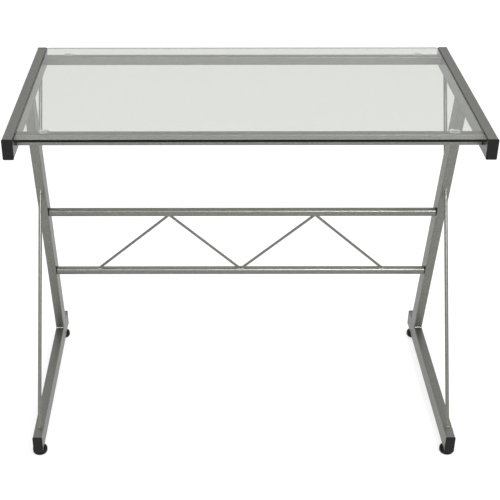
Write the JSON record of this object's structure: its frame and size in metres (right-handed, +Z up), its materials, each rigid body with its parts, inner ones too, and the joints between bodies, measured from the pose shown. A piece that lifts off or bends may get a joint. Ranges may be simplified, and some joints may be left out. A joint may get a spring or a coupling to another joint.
{
  "type": "computer desk",
  "caption": "Glass-topped computer desk on two silver Z-shaped tube side frames, joined by round bars with a rod truss, with levelling feet.",
  "frame": {"origin": "on the floor, in the middle of the desk's footprint", "axes": "+Z up, +X along the width to the sitter's right, +Y away from the sitter, who sits at -Y"},
  "size_m": [0.927, 0.508, 0.7565],
  "materials": {
    "silver_frame": "metallic silver-grey powder coat, satin",
    "black_plastic": "moulded black polyethylene, fine texture",
    "black_nylon": "moulded black nylon, slight sheen",
    "tempered_glass": "clear tempered float glass, ground and polished edges",
    "clear_pvc": "clear soft PVC, glossy",
    "zinc_steel": "bright zinc-plated steel"
  },
  "bodies": {
    "desk": {"back_bar_screws": "zinc_steel", "cross_rail_screws": "zinc_steel", "front_cross_rail": "silver_frame", "front_cross_rail_left_plug": "black_plastic", "front_cross_rail_right_plug": "black_plastic", "front_left_foot_insert": "zinc_steel", "front_left_suction_pad": "clear_pvc", "front_right_foot_insert": "zinc_steel", "front_right_suction_pad": "clear_pvc", "glass_top": "tempered_glass", "inner_left_truss_rod": "silver_frame", "inner_right_truss_rod": "silver_frame", "left_foot_rail": "silver_frame", "left_foot_rail_front_cap": "black_plastic", "left_foot_rail_rear_cap": "black_plastic", "left_leg": "silver_frame", "left_lower_stay_rod": "silver_frame", "left_top_rail": "silver_frame", "left_top_rail_front_cap": "black_plastic", "left_top_rail_rear_cap": "black_plastic", "left_upper_stay_rod": "silver_frame", "left_weld_beads": "silver_frame", "lower_back_bar": "silver_frame", "lower_back_bar_left_plug": "black_plastic", "lower_back_bar_right_plug": "black_plastic", "outer_left_truss_rod": "silver_frame", "outer_right_truss_rod": "silver_frame", "rear_cross_rail": "silver_frame", "rear_cross_rail_left_plug": "black_plastic", "rear_cross_rail_right_plug": "black_plastic", "rear_left_foot_insert": "zinc_steel", "rear_left_suction_pad": "clear_pvc", "rear_right_foot_insert": "zinc_steel", "rear_right_suction_pad": "clear_pvc", "right_foot_rail": "silver_frame", "right_foot_rail_front_cap": "black_plastic", "right_foot_rail_rear_cap": "black_plastic", "right_leg": "silver_frame", "right_lower_stay_rod": "silver_frame", "right_top_rail": "silver_frame", "right_top_rail_front_cap": "black_plastic", "right_top_rail_rear_cap": "black_plastic", "right_upper_stay_rod": "silver_frame", "right_weld_beads": "silver_frame", "truss_weld_beads": "silver_frame", "upper_back_bar": "silver_frame", "upper_back_bar_left_plug": "black_plastic", "upper_back_bar_right_plug": "black_plastic"},
    "front_left_foot_screw": {"front_left_foot_stem": "zinc_steel"},
    "front_left_foot_glide": {"front_left_foot_base": "black_nylon"},
    "front_right_foot_screw": {"front_right_foot_stem": "zinc_steel"},
    "front_right_foot_glide": {"front_right_foot_base": "black_nylon"},
    "rear_left_foot_screw": {"rear_left_foot_stem": "zinc_steel"},
    "rear_left_foot_glide": {"rear_left_foot_base": "black_nylon"},
    "rear_right_foot_screw": {"rear_right_foot_stem": "zinc_steel"},
    "rear_right_foot_glide": {"rear_right_foot_base": "black_nylon"}
  },
  "joints": [
    {"name": "front_left_foot_height", "type": "slide", "parent": "desk", "child": "front_left_foot_screw", "axis": [0, 0, -1], "range_m": [0, 0.01]},
    {"name": "front_left_foot_turn", "type": "hinge", "parent": "front_left_foot_screw", "child": "front_left_foot_glide", "pos_m": [-0.4475, -0.23, 0], "axis": [0, 0, -1], "range_deg": [0, 2880]},
    {"name": "front_right_foot_height", "type": "slide", "parent": "desk", "child": "front_right_foot_screw", "axis": [0, 0, -1], "range_m": [0, 0.01]},
    {"name": "front_right_foot_turn", "type": "hinge", "parent": "front_right_foot_screw", "child": "front_right_foot_glide", "pos_m": [0.4475, -0.23, 0], "axis": [0, 0, -1], "range_deg": [0, 2880]},
    {"name": "rear_left_foot_height", "type": "slide", "parent": "desk", "child": "rear_left_foot_screw", "axis": [0, 0, -1], "range_m": [0, 0.01]},
    {"name": "rear_left_foot_turn", "type": "hinge", "parent": "rear_left_foot_screw", "child": "rear_left_foot_glide", "pos_m": [-0.4475, 0.225, 0], "axis": [0, 0, -1], "range_deg": [0, 2880]},
    {"name": "rear_right_foot_height", "type": "slide", "parent": "desk", "child": "rear_right_foot_screw", "axis": [0, 0, -1], "range_m": [0, 0.01]},
    {"name": "rear_right_foot_turn", "type": "hinge", "parent": "rear_right_foot_screw", "child": "rear_right_foot_glide", "pos_m": [0.4475, 0.225, 0], "axis": [0, 0, -1], "range_deg": [0, 2880]}
  ],
  "couplings": [
    {"joint": "front_left_foot_height", "follows": "front_left_foot_turn", "m_per_rad": 0.0001989},
    {"joint": "front_right_foot_height", "follows": "front_right_foot_turn", "m_per_rad": 0.0001989},
    {"joint": "rear_left_foot_height", "follows": "rear_left_foot_turn", "m_per_rad": 0.0001989},
    {"joint": "rear_right_foot_height", "follows": "rear_right_foot_turn", "m_per_rad": 0.0001989}
  ]
}
